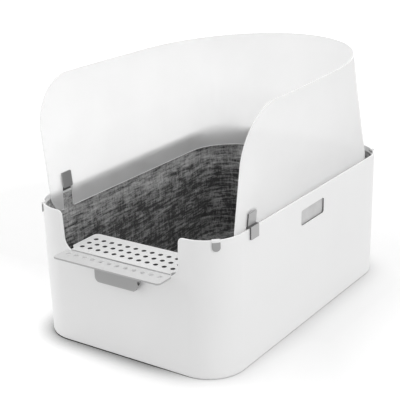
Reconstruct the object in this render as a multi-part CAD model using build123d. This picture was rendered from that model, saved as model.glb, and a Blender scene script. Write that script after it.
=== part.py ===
"""Litter box with a low front entry, a hanging liner, a splash shield and a folding step.

Frame: +X to the right, -Y to the front, where the entry is, and +Z up. The origin is on the floor,
under the middle of the box. Lengths are in millimetres.
"""

import os
from math import atan, atan2, cos, degrees, radians, sin, tan

from build123d import *

# ---------------------------------------------------------------- outer box
box_width = 390.0  # over the rim, left to right
box_depth = 585.0  # over the rim, front to rear
box_height = 240.0  # floor to rim
box_corner = 66.0  # plan radius of the corners at the rim
box_draft = 2.0  # how far each wall leans in from the rim to the floor
box_wall = 2.8
box_floor = 3.0
base_bevel = 4.0  # outside edge at the floor
rim_bevel = 0.8  # edges of the rim, the entry and the hand slots

# low entry in the front wall
entry_half_mouth = 118.0  # half of the width at the rim
entry_side_lean = 3.0  # how much narrower each half is at the sill, measured to the sharp corner
entry_depth = 70.0  # rim to sill
entry_lip_round = 8.0  # where the rim turns down into the entry
entry_bowl_round = 22.0  # where the sides meet the sill

# hand slots in the side walls
slot_length = 80.0
slot_height = 27.0
slot_drop = 37.5  # rim to the middle of the slot
slot_round = 4.0

# ---------------------------------------------------------------- liner
liner_gap = 0.5  # between the box and the liner
liner_cloth = 1.2
liner_drop = 9.0  # cloth edge below the rim
binding_height = 3.0  # edge tape standing on the cloth
liner_entry_gap = 1.0  # cloth edge outside the entry's outline

# hooks that hang the liner on the rim
hook_width = 13.5
hook_thickness = 1.4
hook_gap = 0.4  # between a hook and the rim wall
hook_reach = 18.0  # outer leg below the rim
hook_round = 6.2

# ---------------------------------------------------------------- splash shield
shield_gap = 0.7  # between the liner and the skirt
shield_wall = 2.2
skirt_drop = 37.5  # rim to the lower edge of the skirt
skirt_rise = 2.0  # rim to the height where the straight skirt turns into the flare
shield_rise = 197.0  # rim to the shield's top edge
shield_corner = 98.0  # plan radius of the skirt's rear corners
shield_setback = 53.0  # the box's front to the shield's front edge
shield_foot_round = 34.0  # radius from the front edge into the skirt's lower edge
shield_shoulder = 90.0  # radius from the front edge into the top edge
crown_side_reach = 8.4  # top edge past the box's side, where it runs into the rear curve
crown_rear_reach = 32.5  # top edge past the box's rear
crown_depth = 282.0  # length of the top edge's rear curve along the box
crown_bow = 7.0  # how much wider the top edge is where it is widest
crown_bow_setback = 122.5  # the box's front to the widest place of the top edge
skirt_tuck = 1.2  # how far the skirt's front edges stand in from its sides
crown_side_turn = 32.0  # angle round the top edge's curve that stands over the start of a corner
crown_rear_turn = 63.0  # the same over the end of a corner
front_strips = 3  # flat strips that the shield's curve is built from, from each front edge to the rear curve
side_strips = 3  # along each side of the rear curve
corner_strips = 9  # round each corner
rear_strips = 4  # along each half of the rear
slit_width = 20.0  # slit of the skirt under each clip
slit_mouth_round = 6.0
slit_end_round = 3.0

# ---------------------------------------------------------------- shield clips
clip_width = 24.0
clip_setback = 97.0  # the box's front to the clip's middle
clip_plate = 2.4
clip_gap = 0.4  # between a clip's legs and the rim
clip_grip_gap = 0.25  # between a clip's plates and the shield
clip_web = 3.0
clip_outer_rise = 24.5  # outer plate over the rim
clip_inner_rise = 29.0  # inner plate over the rim
clip_outer_drop = 18.5  # outer leg under the rim
clip_inner_drop = 4.6  # inner leg under the rim
clip_plate_round = 1.6

# ---------------------------------------------------------------- step
panel_side_gap = 8.0  # from the side of the entry's mouth to the inner plate's side
panel_reach = 77.5  # the box's front to the inner plate's rear edge
panel_thickness = 3.6
panel_corner = 9.0
panel_lip = 2.2  # stiffening lip under the panel's rear and side edges
panel_lip_drop = 5.0
fold_setback = 1.1  # fold line in front of the box's front face at the rim
fold_gap = 1.1  # from the fold line to each plate
neck_gap = 1.2  # from the entry's bowl corners to the panel's neck
flap_side_gap = 10.0  # from the side of the entry's mouth to the flap's side
flap_reach = 40.0  # the box's front to the flap's front edge
flap_thickness = 3.1
flap_front_corner = 7.0
flap_rear_corner = 6.0
plate_bevel = 0.6
hole_radius = 4.4
hole_sides = 12
hole_columns = 12
hole_rows = 3
hole_pitch_x = 16.9
hole_pitch_y = 18.3
hole_inset = 22.0  # the inner plate's rear edge to its rear row
flap_hole_inset = 24.0  # the flap's front edge to its row
bracket_half_width = 46.0
bracket_plate = 2.4
bracket_web = 1.6
tongue_drop = 37.3  # sill to the tongue's lower edge
tongue_gap = 6.3  # from the box's front to the back of the tongue
tongue_corner = 9.0
tongue_rim_height = 26.0  # height of the rim turned back from the tongue's edge
tongue_rim_gap = 0.8  # between that rim and the box
heel_drop = 28.0  # sill to the lower edge of the bracket's inner leg
heel_gap = 0.7  # between the inner leg and the liner
heel_corner = 6.0
gusset_drop = 12.0  # height of the webs between the tongue and the saddle

# ---------------------------------------------------------------- worked out from the above
over = 12.0  # how far a cutting body stands clear of what it cuts
half_width = box_width / 2
half_depth = box_depth / 2
wall_lean = degrees(atan(box_draft / box_height))
front_y = -half_depth
entry_half_sill = entry_half_mouth - entry_side_lean
entry_sill = box_height - entry_depth
slot_centre_z = box_height - slot_drop
liner_inset = box_wall + liner_gap
liner_inside = liner_inset + liner_cloth
liner_floor = box_floor + liner_gap
liner_top = box_height - liner_drop
binding_top = liner_top + binding_height
skirt_inset = liner_inside + shield_gap
skirt_half_width = half_width - skirt_inset
skirt_rear_y = half_depth - skirt_inset
shield_foot_z = box_height - skirt_drop
shield_bend_z = box_height + skirt_rise
shield_top_z = box_height + shield_rise
shield_front_y = front_y + shield_setback
crown_half_width = half_width + crown_side_reach
crown_rear_y = half_depth + crown_rear_reach
crown_start_y = crown_rear_y - crown_depth
crown_wide_y = front_y + crown_bow_setback
clip_y = front_y + clip_setback
clip_web_low = box_height + clip_gap
clip_web_high = clip_web_low + clip_web
fold_y = front_y - fold_setback
plate_low = entry_sill + bracket_web
panel_half_width = entry_half_mouth - panel_side_gap
panel_rear_y = front_y + panel_reach
flap_half_width = entry_half_mouth - flap_side_gap
flap_front_y = front_y - flap_reach
flap_hole_y = flap_front_y + flap_hole_inset
tongue_foot_z = entry_sill - tongue_drop
tongue_back = front_y - tongue_gap
tongue_front = tongue_back - bracket_plate
heel_foot_z = entry_sill - heel_drop


def lean_at(z):
    """How far the box's walls have leant in at height z."""
    return box_draft * (1 - z / box_height)


def tub(inset, low, high, bevel=0.0):
    """Solid with the box's outline, drawn in by inset, between two heights, its lower edge bevelled."""
    pull = inset + lean_at(low)
    plan = RectangleRounded(box_width - 2 * pull, box_depth - 2 * pull, box_corner - pull)
    body = extrude(Pos(0, 0, low) * plan, high - low, taper=-wall_lean)
    if bevel:
        body = chamfer(body.edges().group_by(Axis.Z)[0], bevel)
    return body


def bay(half_mouth, half_end, mouth, end, lip, bowl):
    """Outline of a bay that opens at mouth and closes at end, with rounded lips and corners."""
    away = half_mouth + lip + over
    beyond = mouth + over if mouth > end else mouth - over
    edge = FilletPolyline(
        (-away, mouth),
        (-half_mouth, mouth),
        (-half_end, end),
        (half_end, end),
        (half_mouth, mouth),
        (away, mouth),
        radius=[lip, bowl, bowl, lip],
    )
    close = Polyline((away, mouth), (away, beyond), (-away, beyond), (-away, mouth))
    return make_face(edge.edges() + close.edges())


def entry_cutter(grow):
    """Body that cuts the entry through the front wall, its outline moved out by grow."""
    outline = bay(
        entry_half_mouth + grow,
        entry_half_sill + grow,
        box_height,
        entry_sill - grow,
        entry_lip_round - grow,
        entry_bowl_round + grow,
    )
    reach = box_corner + over
    return extrude(Plane.XZ.offset(half_depth + over - reach) * outline, reach)


def make_outer_box():
    """Moulded tub with the entry and the hand slots, its wall edges bevelled."""
    shell = tub(0, 0, box_height, base_bevel) - tub(box_wall, box_floor, box_height + over)
    slot = Plane.YZ * Pos(0, slot_centre_z) * RectangleRounded(slot_length, slot_height, slot_round)
    shell -= entry_cutter(0)
    shell -= extrude(slot, box_width, both=True)

    def runs_along_wall(edge):
        return edge.length > 2 * box_wall or abs(edge.tangent_at(0.5).Y) < 0.5

    def on_entry(edge):
        at = edge.center()
        in_width = abs(at.X) < entry_half_mouth + entry_lip_round
        return at.Y < front_y + box_corner / 2 and in_width and at.Z > entry_sill - box_wall

    def on_slot(edge):
        at = edge.center()
        near = abs(at.Y) < slot_length and abs(at.Z - slot_centre_z) < slot_height
        return near and abs(edge.tangent_at(0.5).X) < 0.5

    top = shell.edges().group_by(Axis.Z)[-1]
    rim = [edge for edge in top if not on_entry(edge)]
    entry = [edge for edge in shell.edges() if on_entry(edge) and runs_along_wall(edge)]
    shell = chamfer(rim + entry, rim_bevel)
    slots = [edge for edge in shell.edges() if on_slot(edge)]
    return chamfer(slots, rim_bevel)


def make_liner():
    """Cloth tub, open on top and at the entry."""
    cloth = tub(liner_inset, liner_floor, liner_top)
    cloth -= tub(liner_inside, liner_floor + liner_cloth, liner_top + over)
    return cloth - entry_cutter(liner_entry_gap)


def make_binding():
    """Edge tape on the cloth's top edge."""
    tape = tub(liner_inset, liner_top, binding_top) - tub(liner_inside, liner_top - over, binding_top + over)
    return tape - entry_cutter(liner_entry_gap)


def make_hook(side, end):
    """Hook over the rim at one corner: side is -1 for left and 1 for right, end is -1 for front."""
    inner_out = box_corner - box_wall - hook_gap
    inner_in = inner_out - hook_thickness
    outer_in = box_corner + hook_gap
    outer_out = outer_in + hook_thickness
    cap_low = box_height + hook_gap
    cap_high = cap_low + hook_thickness
    foot = box_height - hook_reach
    profile = Polyline(
        (inner_in, binding_top),
        (inner_out, binding_top),
        (inner_out, cap_low),
        (outer_in, cap_low),
        (outer_in, foot),
        (outer_out, foot),
        (outer_out, cap_high),
        (inner_in, cap_high),
        close=True,
    )
    turn = degrees(hook_width / outer_out)
    body = revolve(Plane.XZ * make_face(profile), Axis.Z, revolution_arc=turn)
    foot_edges = body.edges().filter_by(GeomType.LINE).group_by(Axis.Z)[0]
    body = fillet(foot_edges, hook_round)
    facing = degrees(atan2(end, side))
    centre = Pos(side * (half_width - box_corner), end * (half_depth - box_corner), 0)
    return centre * Rot(0, 0, facing - turn / 2) * body


def side_station(step):
    """Edge of a flat strip in front of the rear curve: y, half of the skirt's and half of the top's width."""
    y = shield_front_y + (crown_start_y - shield_front_y) * step / front_strips
    tuck = skirt_tuck if step == 0 else 0
    bow = crown_bow * (1 - ((y - crown_wide_y) / (crown_start_y - crown_wide_y)) ** 2)
    return y, skirt_half_width - tuck, crown_half_width + bow


def first_strip(y):
    """Half of the skirt's and of the top's width at y on the foremost strip."""
    y_0, skirt_0, crown_0 = side_station(0)
    y_1, skirt_1, crown_1 = side_station(1)
    along = (y - y_0) / (y_1 - y_0)
    return skirt_0 + (skirt_1 - skirt_0) * along, crown_0 + (crown_1 - crown_0) * along


def shield_stations(inset, front):
    """Matching points round the skirt and the top edge, drawn in by inset, from right front to left."""
    wide = skirt_half_width - inset
    corner = shield_corner - inset
    tangent_x = wide - corner
    tangent_y = skirt_rear_y - shield_corner
    crown_wide = crown_half_width - inset
    crown_deep = crown_depth - inset

    def on_crown(turn):
        return (crown_wide * cos(radians(turn)), crown_start_y + crown_deep * sin(radians(turn)))

    skirt_x, crown_x = first_strip(front)
    right = [((skirt_x - inset, front), (crown_x - inset, front))]
    for step in range(1, front_strips):
        y, skirt_x, crown_x = side_station(step)
        right.append(((skirt_x - inset, y), (crown_x - inset, y)))
    for step in range(side_strips):
        share = step / side_strips
        skirt = (wide, crown_start_y + (tangent_y - crown_start_y) * share)
        right.append((skirt, on_crown(crown_side_turn * share)))
    for step in range(corner_strips):
        share = step / corner_strips
        turn = radians(90 * share)
        skirt = (tangent_x + corner * cos(turn), tangent_y + corner * sin(turn))
        right.append((skirt, on_crown(crown_side_turn + (crown_rear_turn - crown_side_turn) * share)))
    for step in range(rear_strips):
        share = step / rear_strips
        skirt = (tangent_x * (1 - share), tangent_y + corner)
        right.append((skirt, on_crown(crown_rear_turn + (90 - crown_rear_turn) * share)))
    middle = [((0, tangent_y + corner), on_crown(90))]
    left = [((-sx, sy), (-cx, cy)) for (sx, sy), (cx, cy) in reversed(right)]
    return right + middle + left


def shield_body(inset, front, low):
    """Closed body inside the shield's outer or inner face: straight skirt and flare, in flat strips."""
    stations = shield_stations(inset, front)
    skirt = make_face(Polyline(*[at_skirt for at_skirt, _ in stations], close=True))
    crown = make_face(Polyline(*[at_crown for _, at_crown in stations], close=True))
    bend = Pos(0, 0, shield_bend_z) * skirt
    straight = extrude(Pos(0, 0, low) * skirt, shield_bend_z - low)
    return straight + loft([bend, Pos(0, 0, shield_top_z) * crown], ruled=True)


def front_cutter(front):
    """Body in front of the shield's round foot, upright front edge and round shoulder."""
    shoulder_y = shield_front_y + shield_shoulder
    shoulder_z = shield_top_z - shield_shoulder
    shoulder_diagonal = shield_shoulder * cos(radians(45))
    foot_y = shield_front_y + shield_foot_round
    foot_z = shield_foot_z + shield_foot_round
    foot_diagonal = shield_foot_round * cos(radians(45))
    edges = [
        ThreePointArc(
            (foot_y, shield_foot_z),
            (foot_y - foot_diagonal, foot_z - foot_diagonal),
            (shield_front_y, foot_z),
        ),
        Line((shield_front_y, foot_z), (shield_front_y, shoulder_z)),
        ThreePointArc(
            (shield_front_y, shoulder_z),
            (shoulder_y - shoulder_diagonal, shoulder_z + shoulder_diagonal),
            (shoulder_y, shield_top_z),
        ),
        Polyline(
            (shoulder_y, shield_top_z),
            (shoulder_y, shield_top_z + over),
            (front, shield_top_z + over),
            (front, shield_foot_z - over),
            (foot_y, shield_foot_z - over),
            (foot_y, shield_foot_z),
        ),
    ]
    outline = make_face([part for edge in edges for part in edge.edges()])
    return extrude(Plane.YZ * outline, box_width, both=True)


def make_shield():
    """Wraparound wall, open to the front, with a slit in its skirt under each clip."""
    front = shield_front_y - over
    wall = shield_body(0, front, shield_foot_z)
    wall -= shield_body(shield_wall, front - over, shield_foot_z - over)
    wall -= Pos(0, 0, shield_top_z) * extrude(Rectangle(2 * box_width, 2 * box_depth), over)
    wall -= front_cutter(front - over)
    half_slit = slit_width / 2
    slit = bay(half_slit, half_slit, shield_foot_z, clip_web_high, slit_mouth_round, slit_end_round)
    return wall - extrude(Plane.YZ * Pos(clip_y, 0) * slit, box_width, both=True)


def shield_face_x(z):
    """Outer face of the shield's right side at the clips, at height z."""
    skirt_x, crown_x = first_strip(clip_y)
    return skirt_x + (crown_x - skirt_x) * max(0, z - shield_bend_z) / (shield_top_z - shield_bend_z)


def clip_block(width, low, high, corner):
    """Rounded block across the right wall that a part of the clip is cut from."""
    front_view = Pos(clip_y, (low + high) / 2) * RectangleRounded(width, high - low, corner)
    return extrude(Plane.YZ * front_view, box_width)


def make_clip():
    """Right-hand clip: two plates that grip the shield, and two legs over the rim."""
    outer_top = box_height + clip_outer_rise
    inner_top = box_height + clip_inner_rise
    outer_foot = box_height - clip_outer_drop
    inner_foot = box_height - clip_inner_drop
    outer_in = half_width + clip_gap
    inner_out = half_width - box_wall - clip_gap
    inner_in = skirt_half_width + clip_gap
    outer_half = Polyline(
        (shield_face_x(clip_web_high) + clip_grip_gap, clip_web_high),
        (shield_face_x(outer_top) + clip_grip_gap, outer_top),
        (shield_face_x(outer_top) + clip_grip_gap + clip_plate, outer_top),
        (shield_face_x(clip_web_high) + clip_grip_gap + clip_plate, clip_web_high),
        (outer_in + clip_plate, clip_web_high),
        (outer_in + clip_plate, outer_foot),
        (outer_in, outer_foot),
        (outer_in, clip_web_low),
        (inner_out, clip_web_low),
        (inner_out, inner_foot),
        (inner_in, inner_foot),
        (inner_in, clip_web_high),
        close=True,
    )
    inside = shield_wall + clip_grip_gap
    inner_low = (clip_web_low + clip_web_high) / 2
    inner_half = Polyline(
        (shield_face_x(inner_low) - inside, inner_low),
        (shield_face_x(inner_top) - inside, inner_top),
        (shield_face_x(inner_top) - inside - clip_plate, inner_top),
        (shield_face_x(inner_low) - inside - clip_plate, inner_low),
        close=True,
    )
    neck = Polyline(
        (shield_face_x(clip_web_low) - inside - clip_plate / 2, clip_web_low),
        (inner_in + clip_plate / 2, clip_web_low),
        (inner_in + clip_plate / 2, clip_web_high),
        (shield_face_x(clip_web_low) - inside - clip_plate / 2, clip_web_high),
        close=True,
    )

    def across(profile):
        return extrude(Plane.XZ.offset(-clip_y) * make_face(profile), clip_width, both=True)

    clip = across(outer_half) & clip_block(clip_width, outer_foot, outer_top, clip_plate_round)
    clip += across(inner_half) & clip_block(clip_width, inner_low, inner_top, clip_plate_round)
    neck_width = slit_width - 2 * slit_end_round
    return clip + (across(neck) & clip_block(neck_width, clip_web_low, clip_web_high, clip_web / 4))


def neck_half_width():
    """Half of the panel's width where it passes between the round corners of the entry."""
    lean = atan2(entry_half_mouth - entry_half_sill, box_height - entry_sill)
    corner_angle = radians(90) + lean
    bowl_x = entry_half_sill - entry_bowl_round / tan(corner_angle / 2)
    drop = entry_bowl_round - bracket_web
    return bowl_x + (entry_bowl_round**2 - drop**2) ** 0.5 - neck_gap


def hole_block(rows, middle_y):
    """Drain holes through a plate, in rows of the same pitch about middle_y."""
    hole = extrude(RegularPolygon(hole_radius, hole_sides), panel_thickness + over, both=True)
    grid = GridLocations(hole_pitch_x, hole_pitch_y, hole_columns, rows)
    return Pos(0, middle_y, plate_low) * grid * hole


def panel_plan(grow):
    """Plan of the inner plate, which narrows to a neck over the sill, with its edge moved out by grow."""
    neck = neck_half_width() + grow
    wide = panel_half_width + grow
    rear = panel_rear_y + grow
    front = fold_y + fold_gap - grow
    waist = front_y + liner_inside + lean_at(entry_sill) + neck_gap
    shoulder = waist + wide - neck
    plan = Polyline(
        (-neck, front),
        (-neck, waist),
        (-wide, shoulder),
        (-wide, rear),
        (wide, rear),
        (wide, shoulder),
        (neck, waist),
        (neck, front),
        close=True,
    )
    face = make_face(plan)
    return fillet(face.vertices().group_by(Axis.Y)[-1], panel_corner + grow)


def make_panel():
    """Inner plate with three rows of holes and a lip under its rear and side edges."""
    plate = extrude(Pos(0, 0, plate_low) * panel_plan(0), panel_thickness)
    plate = chamfer(plate.edges().group_by(Axis.Z)[-1], plate_bevel)
    lip_plan = panel_plan(0) - panel_plan(-panel_lip)
    lip = extrude(Pos(0, 0, plate_low - panel_lip_drop) * lip_plan, panel_lip_drop)
    keep_y = front_y + liner_inside + panel_half_width / 4
    lip &= Pos(0, keep_y + box_depth / 2, plate_low) * Box(box_width, box_depth, box_height)
    middle_y = panel_rear_y - hole_inset - hole_pitch_y * (hole_rows - 1) / 2
    return plate + lip - hole_block(hole_rows, middle_y)


def make_flap():
    """Outer plate in front of the fold line, with one row of holes."""
    rear_y = fold_y - fold_gap
    deep = rear_y - flap_front_y
    face = Pos(0, flap_front_y + deep / 2, plate_low) * Rectangle(2 * flap_half_width, deep)
    face = fillet(face.vertices().group_by(Axis.Y)[0], flap_front_corner)
    face = fillet(face.vertices().group_by(Axis.Y)[-1], flap_rear_corner)
    plate = extrude(face, flap_thickness)
    plate = chamfer(plate.edges().group_by(Axis.Z)[-1], plate_bevel)
    return plate - hole_block(1, flap_hole_y)


def tongue_outline(inset):
    """Outline of the tongue's rim seen from the front, drawn in by inset."""
    half = bracket_half_width - inset
    low = tongue_foot_z + inset
    high = tongue_foot_z + tongue_rim_height
    outline = Pos(0, (low + high) / 2) * Rectangle(2 * half, high - low)
    return fillet(outline.vertices().group_by(Axis.Y)[0], tongue_corner - inset)


def make_bracket():
    """Saddle over the sill: tongue with a turned-back rim, web on the sill, heel inside the liner."""
    heel_front = front_y + liner_inside + lean_at(heel_foot_z) + heel_gap
    heel_back = heel_front + bracket_plate
    side_view = Polyline(
        (tongue_front, tongue_foot_z),
        (tongue_front, plate_low),
        (heel_back, plate_low),
        (heel_back, heel_foot_z),
        (heel_front, heel_foot_z),
        (heel_front, entry_sill),
        (tongue_back, entry_sill),
        (tongue_back, tongue_foot_z),
        close=True,
    )
    saddle = extrude(Plane.YZ * make_face(side_view), bracket_half_width, both=True)
    cross_edges = saddle.edges().filter_by(Axis.Y).group_by(Axis.Z)
    saddle = fillet(cross_edges[0], tongue_corner)
    deep_edges = saddle.edges().filter_by(Axis.Y)
    heel_edges = [edge for edge in deep_edges if abs(edge.center().Z - heel_foot_z) < 0.1]
    saddle = fillet(heel_edges, heel_corner)
    gusset = make_face(
        Polyline(
            (tongue_back, entry_sill),
            (fold_y, entry_sill),
            (tongue_back, entry_sill - gusset_drop),
            close=True,
        )
    )
    for side in (-1, 1):
        middle = Plane.YZ.offset(side * bracket_half_width / 2)
        saddle += extrude(middle * gusset, bracket_web / 2, both=True)
    rim = tongue_outline(0) - tongue_outline(bracket_plate)
    rim_deep = front_y - tongue_rim_gap - tongue_front
    return saddle + extrude(Plane.XZ.offset(-tongue_front) * rim, -rim_deep)


def main():
    """Write one STEP file for each piece."""
    os.makedirs("parts", exist_ok=True)
    clip = make_clip()
    pieces = {
        "outer_box": make_outer_box(),
        "liner": make_liner(),
        "liner_binding": make_binding(),
        "splash_shield": make_shield(),
        "shield_clip_right": clip,
        "shield_clip_left": mirror(clip, Plane.YZ),
        "step_panel": make_panel(),
        "step_flap": make_flap(),
        "step_bracket": make_bracket(),
    }
    for end_name, end in (("front", -1), ("rear", 1)):
        for side_name, side in (("left", -1), ("right", 1)):
            pieces[f"liner_hook_{end_name}_{side_name}"] = make_hook(side, end)
    for name, piece in pieces.items():
        export_step(piece, f"parts/{name}.step")


main()
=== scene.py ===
"""Looks of a litter box with a low front entry, a hanging felt liner, a splash shield and a folding step.

Frame: +X to the right, -Y to the front and +Z up, in metres. Sizes of pieces are written in millimetres.
"""

import logging
import math
from contextlib import contextmanager
from dataclasses import dataclass
from enum import Enum, IntEnum
from functools import cached_property
from itertools import pairwise
from typing import Callable, Iterator, Sequence

import bmesh
import bpy
from mathutils import Matrix, Vector, noise


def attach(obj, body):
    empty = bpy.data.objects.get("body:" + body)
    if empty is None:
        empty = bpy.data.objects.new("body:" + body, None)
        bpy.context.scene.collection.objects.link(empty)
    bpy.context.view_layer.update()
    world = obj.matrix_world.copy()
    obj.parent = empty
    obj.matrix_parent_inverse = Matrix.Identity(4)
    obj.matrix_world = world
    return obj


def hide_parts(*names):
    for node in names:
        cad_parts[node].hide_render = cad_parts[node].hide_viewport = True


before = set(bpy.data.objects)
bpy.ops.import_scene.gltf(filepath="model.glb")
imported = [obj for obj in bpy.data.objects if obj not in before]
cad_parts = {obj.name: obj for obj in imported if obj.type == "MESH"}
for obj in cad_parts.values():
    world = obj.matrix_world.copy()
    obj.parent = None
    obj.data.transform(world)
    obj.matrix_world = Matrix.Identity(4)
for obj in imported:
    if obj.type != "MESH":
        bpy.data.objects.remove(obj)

log = logging.getLogger("litter_box")

Piece = bpy.types.Object
Socket = bpy.types.NodeSocket
Triple = tuple[float, float, float]

MM = 0.001
TOUCH = 0.05  # places closer than this, in millimetres, are the same place
NEAR = 1.0  # places within this of a plane, in millimetres, belong to it
SQUARE_ON = 0.9  # a normal with more than this along an axis faces that way
STRAIGHT = 0.98  # an edge with more than this share of its length along an axis runs along it
SAME_POINT = 0.002  # points of a CAD mesh closer than this, in millimetres, are merged
FLAT_ANGLE = 0.5  # degrees within which merged triangles are one flat face
NO_WIDTH = 0.005  # faces narrower than this, in millimetres, are taken out
CORNER_FLATS = 16  # flats in each upright corner of the tub and of what lines it
NOISE_RANGE = (0.3, 0.7)  # most of a noise lies in this range
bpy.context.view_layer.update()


class Slot(Enum):
    """Material slots of the record."""

    BOX = "box_plastic"
    LINER = "liner_cloth"
    TAPE = "liner_tape"
    GREY = "grey_plastic"
    SHIELD = "shield_plastic"
    STEP = "step_plastic"


class Body(Enum):
    """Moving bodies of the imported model."""

    BOX = "box"
    LINER = "liner"
    SHIELD = "shield"
    STEP = "step"
    FLAP = "flap"


class Pick(Enum):
    """What an edit-mode selection is made of."""

    POINTS = "VERT"
    EDGES = "EDGE"
    FACES = "FACE"


class Axis(Enum):
    """Axes of the frame."""

    X = 0
    Y = 1
    Z = 2


# ---------------------------------------------------------------- the bench: modelling tools


def put_down() -> None:
    """Go back to object mode and leave nothing selected."""
    if bpy.context.mode != "OBJECT":
        bpy.ops.object.mode_set(mode="OBJECT")
    bpy.ops.object.select_all(action="DESELECT")


def take_up(piece: Piece) -> None:
    """Make a piece the only selected and active object.

    Args:
        piece: The object to work on.
    """
    put_down()
    piece.select_set(True)
    bpy.context.view_layer.objects.active = piece


def settle(piece: Piece) -> None:
    """Put a piece's place, turn and scale into its mesh.

    Args:
        piece: The object to settle.
    """
    take_up(piece)
    bpy.ops.object.transform_apply(location=True, rotation=True, scale=True)


@contextmanager
def shaping(piece: Piece) -> Iterator[None]:
    """Hold a piece in edit mode, with nothing selected at the start.

    Args:
        piece: The mesh object to shape.

    Yields:
        Nothing.
    """
    take_up(piece)
    bpy.ops.object.mode_set(mode="EDIT")
    bpy.ops.mesh.select_all(action="DESELECT")
    yield
    bpy.ops.object.mode_set(mode="OBJECT")


def pick(piece: Piece, kind: Pick, test: Callable[..., bool]) -> None:
    """Select only what passes a test, in edit mode.

    Args:
        piece: The mesh object in edit mode.
        kind: Whether points, edges or faces are tested.
        test: Takes a point, edge or face and says whether it is wanted.
    """
    bpy.ops.mesh.select_mode(type=kind.value)
    bpy.ops.mesh.select_all(action="DESELECT")
    shape = bmesh.from_edit_mesh(piece.data)
    items = {Pick.POINTS: shape.verts, Pick.EDGES: shape.edges, Pick.FACES: shape.faces}[kind]
    for item in [item for item in items if test(item)]:
        item.select_set(True)
    shape.select_flush_mode()
    bmesh.update_edit_mesh(piece.data)


def middle_of(edge: bmesh.types.BMEdge) -> Vector:
    """Middle of an edge in millimetres."""
    return (edge.verts[0].co + edge.verts[1].co) / 2 / MM


def along(edge: bmesh.types.BMEdge, axis: Axis) -> bool:
    """Whether an edge runs along an axis, give or take the walls' lean."""
    way = edge.verts[1].co - edge.verts[0].co
    return abs(way[axis.value]) > STRAIGHT * way.length


def level(edge: bmesh.types.BMEdge, height: float) -> bool:
    """Whether both ends of an edge are at a height in millimetres."""
    return all(abs(point.co.z / MM - height) < TOUCH for point in edge.verts)


def round_off(radius: float, flats: int, points: bool = False) -> None:
    """Bevel the selected edges, or points, into arcs.

    Args:
        radius: Radius in millimetres.
        flats: Number of flats in the arc.
        points: Whether points are rounded, and not edges.
    """
    bpy.ops.mesh.bevel(
        offset_type="OFFSET",
        offset=radius * MM,
        segments=flats,
        profile=0.5,
        affect="VERTICES" if points else "EDGES",
        clamp_overlap=False,
    )


def stretch(x: float, y: float, z: float, about: Sequence[float] = (0, 0, 0)) -> None:
    """Scale the selection about a point in millimetres."""
    bpy.ops.transform.resize(value=(x, y, z), center_override=[a * MM for a in about])


def pull_up(height: float) -> None:
    """Extrude the selection upwards by millimetres."""
    bpy.ops.mesh.extrude_region_move(TRANSFORM_OT_translate={"value": (0, 0, height * MM)})


def step_in(width: float) -> None:
    """Inset the selected faces by millimetres."""
    bpy.ops.mesh.inset(thickness=width * MM, depth=0)


def slice_through(
    place: Sequence[float],
    facing: Sequence[float],
    clear: bool = False,
    fill: bool = False,
) -> None:
    """Cut all of the mesh in edit mode along a plane.

    Args:
        place: A place on the plane in millimetres.
        facing: Direction that the plane faces.
        clear: Whether what lies beyond the plane is deleted.
        fill: Whether the cut is closed.
    """
    bpy.ops.mesh.select_all(action="SELECT")
    bpy.ops.mesh.bisect(plane_co=[a * MM for a in place], plane_no=facing, use_fill=fill, clear_outer=clear)


def apply_modifier(piece: Piece, kind: str, **settings: object) -> None:
    """Add a modifier and apply it at once.

    Args:
        piece: The mesh object.
        kind: Blender's name for the modifier.
        **settings: Its settings.
    """
    take_up(piece)
    modifier = piece.modifiers.new(kind, kind)
    for key, value in settings.items():
        setattr(modifier, key, value)
    bpy.ops.object.modifier_apply(modifier=modifier.name)


def carve(piece: Piece, cutter: Piece) -> None:
    """Cut one body out of another, and throw the cutter away.

    Args:
        piece: The mesh object that is cut.
        cutter: The body to take out of it.
    """
    apply_modifier(piece, "BOOLEAN", operation="DIFFERENCE", solver="EXACT", object=cutter)
    bpy.data.objects.remove(cutter, do_unlink=True)


def soften(piece: Piece, width: float, angle: float = 50.0, weigh: bool = True) -> None:
    """Round the sharp edges of a finished shape and shade it smooth.

    Args:
        piece: The mesh object.
        width: Width of the rounding in millimetres.
        angle: Edges that turn by more than this many degrees are rounded.
        weigh: Whether large faces pull the shading of their corners flat.
    """
    sharp = math.radians(angle)
    take_up(piece)
    bpy.ops.object.shade_smooth_by_angle(angle=sharp)
    apply_modifier(
        piece,
        "BEVEL",
        width=width * MM,
        segments=2,
        limit_method="ANGLE",
        angle_limit=sharp,
        miter_outer="MITER_ARC",
    )
    take_up(piece)
    bpy.ops.object.shade_smooth_by_angle(angle=sharp)
    if weigh:
        apply_modifier(piece, "WEIGHTED_NORMAL", keep_sharp=True, weight=50)


def add_block(name: str, low: Sequence[float], high: Sequence[float]) -> Piece:
    """Add a block between two corners.

    Args:
        name: Name of the new object.
        low: Lowest corner in millimetres.
        high: Highest corner in millimetres.

    Returns:
        The block, with its place in its mesh.
    """
    put_down()
    middle = [(a + b) / 2 * MM for a, b in zip(low, high)]
    bpy.ops.mesh.primitive_cube_add(size=1, location=middle)
    block = bpy.context.object
    block.name = name
    block.scale = [(b - a) * MM for a, b in zip(low, high)]
    settle(block)
    return block


def add_tub_block(name: str, half: tuple[float, float], low: float, high: float, corner: float) -> Piece:
    """Add a block on the frame's upright axis, with round upright corners.

    Args:
        name: Name of the new object.
        half: Half of its width and half of its depth in millimetres.
        low: Height of its underside in millimetres.
        high: Height of its top in millimetres.
        corner: Radius of its corners in millimetres.

    Returns:
        The block.
    """
    block = add_block(name, (-half[0], -half[1], low), (*half, high))
    with shaping(block):
        pick(block, Pick.EDGES, lambda e: along(e, Axis.Z))
        round_off(corner, CORNER_FLATS)
    return block


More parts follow.
